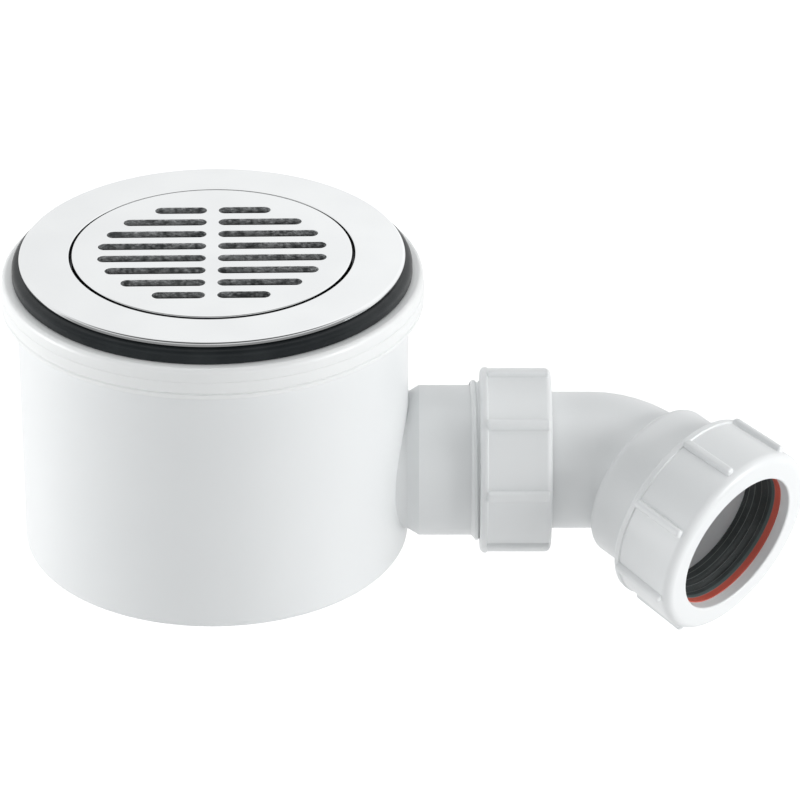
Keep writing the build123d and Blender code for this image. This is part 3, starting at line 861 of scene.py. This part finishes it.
def compression_outline():
    lip, back, bent = compression_back_radius + compression_lip, compression_back, compression_lip_rounding
    front, face, rounding = compression_front_radius, compression_face, compression_front_rounding
    outline = [(compression_bore, compression_shoulder), (compression_bore, back)]
    outline += arc((lip - bent, back + bent), bent, -90, 0, steps=6)
    outline += [(lip, back + compression_lip_flat),
                (compression_back_radius - compression_root_cut, back + compression_lip_end)]
    outline += arc((front - rounding, face - rounding), rounding, 0, 90, steps=12)
    outline += arc((mouth_radius + mouth_rounding, face - mouth_rounding), mouth_rounding, 90, 180, steps=5)
    outline += [(mouth_radius, compression_shoulder)]
    return outline


# Pieces of the trap
moulded("trap_body", "trap", body_white)
moulded("body_collar", "trap", collar_white)
ring_look = smooth_ring("flange_seal", ring_outline(), ring_steps, "trap", ring_rubber)
moulded("trap_cup", "trap", inner_grey)
flange_look = smooth_ring("waste_flange", flange_outline(), flange_steps, "flange", flange_chrome)
# The recess's floor and wall take the painted shade of the gap
pick_out(flange_look.data, gap_chrome_painted_shade, in_recess)
moulded("dip_tube", "lift_out", inner_grey)
moulded("dip_tube_seal", "lift_out", ring_rubber)
moulded("coupling_washer", "joint_washer", ring_rubber)
ribbed_nut("coupling_nut", coupling_outline(), nozzle_line, front_way, nozzle_way, coupling_ribs)
moulded("outlet_bend", "bend", fitting_white, reshape=round_socket_shoulder)
socket_hollow()
moulded("pipe_seal", "bend", lip_rubber)
moulded("slip_washer", "slip_washer", washer_red)
ribbed_nut("compression_nut", compression_outline(), elbow, outer_way, outlet_way, compression_ribs)
cover_look = slotted_cover()
thread("nozzle_thread", "trap", body_white, nozzle_line, nozzle_way,
       start=76.2, run=14.4, pitch=pipe_pitch, root=23.1, rise=0.8)
thread("socket_thread", "bend", fitting_white, elbow, outlet_way,
       start=25.3, run=13.4, pitch=pipe_pitch, root=26.05, rise=0.8)
tail_look = thread("tail_thread", "flange", flange_chrome, Vector((0, 0, 0)), up,
                   start=-19.6, run=15.4, pitch=tail_pitch, root=43.9, rise=0.7)


# Floor, light and camera, in metres

def by_ray(tree, output, lit, mirrored, seen):
    """One shader for what lights the part, one for what it mirrors and one for the camera."""
    ray = put(tree, "ShaderNodeLightPath")
    mirror = maths(tree, "MAXIMUM", ray.outputs["Is Glossy Ray"], ray.outputs["Is Transmission Ray"])
    unseen = put(tree, "ShaderNodeMixShader", {0: mirror, 1: lit, 2: mirrored})
    final = put(tree, "ShaderNodeMixShader", {0: ray.outputs["Is Camera Ray"], 1: unseen.outputs[0], 2: seen})
    tree.links.new(final.outputs[0], output.inputs["Surface"])


def white_glow(tree, kind, strength):
    """A white emission or background of one strength."""
    return put(tree, kind, {"Color": (1, 1, 1, 1), "Strength": strength}).outputs[0]


def slope(tree, value, low, high, at_low, at_high):
    """A smooth step between two levels along a value."""
    return put(tree, "ShaderNodeMapRange", {
        "Value": value, "From Min": low, "From Max": high, "To Min": at_low, "To Max": at_high,
    }, interpolation_type="SMOOTHSTEP").outputs[0]


def make_floor():
    half_side, drop = 6, -0.25
    work = bmesh.new()
    bmesh.ops.create_grid(work, x_segments=1, y_segments=1, size=half_side)
    mesh = bpy.data.meshes.new("studio floor")
    work.to_mesh(mesh)
    work.free()
    mesh.transform(Matrix.Translation((0, 0, drop)))
    made = show("studio_floor", mesh)
    finish = bpy.data.materials.new("studio_floor_white")
    finish.use_nodes = True
    tree = finish.node_tree
    tree.nodes.clear()
    output = put(tree, "ShaderNodeOutputMaterial")
    cover = put(tree, "ShaderNodeBsdfDiffuse", {"Color": (0.8, 0.8, 0.8, 1)}).outputs[0]
    bounce = white_glow(tree, "ShaderNodeEmission", 0.16)
    glow = white_glow(tree, "ShaderNodeEmission", 0.6)
    position = put(tree, "ShaderNodeNewGeometry").outputs["Position"]
    place = put(tree, "ShaderNodeSeparateXYZ", {0: position})
    level = slope(tree, place.outputs["Y"], low=-0.1, high=0.15, at_low=0.3, at_high=1.0)
    mirrored = white_glow(tree, "ShaderNodeEmission", level)
    lit = put(tree, "ShaderNodeAddShader", {0: cover, 1: bounce}).outputs[0]
    seen = put(tree, "ShaderNodeAddShader", {0: cover, 1: glow}).outputs[0]
    by_ray(tree, output, lit, mirrored, seen)
    mesh.materials.append(finish)


def make_world():
    """A white studio. What it shows in the chrome is dark only high in front."""
    world = bpy.data.worlds.new("studio")
    bpy.context.scene.world = world
    world.use_nodes = True
    tree = world.node_tree
    tree.nodes.clear()
    output = put(tree, "ShaderNodeOutputWorld")
    view = put(tree, "ShaderNodeTexCoord").outputs["Generated"]
    way = put(tree, "ShaderNodeSeparateXYZ", {0: view})
    in_front = slope(tree, way.outputs["Y"], low=-0.2, high=0.35, at_low=1.0, at_high=0.0)
    overhead = slope(tree, way.outputs["Z"], low=0.42, high=0.66, at_low=0.28, at_high=0.93)
    sideways = slope(tree, way.outputs["X"], low=-0.08, high=0.08, at_low=0.98, at_high=1.12)
    brightest = 1.03
    upright = maths(tree, "SUBTRACT", brightest, maths(tree, "MULTIPLY", in_front, overhead))
    level = maths(tree, "MULTIPLY", upright, sideways)
    lit = put(tree, "ShaderNodeBackground", {"Color": (0.97, 0.99, 1.0, 1), "Strength": 0.46}).outputs[0]
    mirrored = white_glow(tree, "ShaderNodeBackground", level)
    seen = white_glow(tree, "ShaderNodeBackground", 1.0)
    by_ray(tree, output, lit, mirrored, seen)


def keep_from_boxes(*pieces):
    """A collection of the dark and polished pieces that show the studio and not the lamps."""
    made = bpy.data.collections.new("mirror only")
    for piece in pieces:
        made.objects.link(piece)
    for member in made.collection_objects:
        member.light_linking.link_state = "EXCLUDE"
    return made


def soft_box(name, receivers, *, place, aim, width, height, power):
    lamp = bpy.data.lights.new(name, "AREA")
    lamp.shape = "RECTANGLE"
    lamp.size, lamp.size_y, lamp.energy = width, height, power
    made = bpy.data.objects.new(name, lamp)
    bpy.context.scene.collection.objects.link(made)
    made.location = place
    made.rotation_euler = (Vector(aim) - Vector(place)).to_track_quat("-Z", "Y").to_euler()
    made.light_linking.receiver_collection = receivers


def make_camera():
    """The camera as it was fitted to the photo, straight in front of the part and looking down on it."""
    aim, distance = Vector((54.92, 0, -47.64)) * MM, 1.6
    rise = math.radians(28.44)
    lens = bpy.data.cameras.new("photo view")
    lens.sensor_width = 36
    lens.lens = 242.87
    lens.clip_end = 30
    made = bpy.data.objects.new("photo_view", lens)
    bpy.context.scene.collection.objects.link(made)
    made.location = aim + Vector((0, -math.cos(rise), math.sin(rise))) * distance
    made.rotation_euler = (math.pi / 2 - rise, 0, 0)
    bpy.context.scene.camera = made


make_floor()
make_world()
mirror_only = keep_from_boxes(flange_look, cover_look, tail_look, ring_look)
soft_box("left_box", mirror_only, place=(-1.6, -0.08, 0.0), aim=(0.0, 0.0, -0.05),
         width=0.8, height=1.4, power=21.5)
soft_box("right_box", mirror_only, place=(1.8, -0.65, 0.0), aim=(0.06, 0.0, -0.05),
         width=0.9, height=1.4, power=28.5)
soft_box("top_box", mirror_only, place=(0.05, 0.1, 1.2), aim=(0.05, 0.0, -0.05),
         width=1.0, height=1.0, power=3.2)
make_camera()
bpy.context.scene.view_settings.view_transform = "Standard"
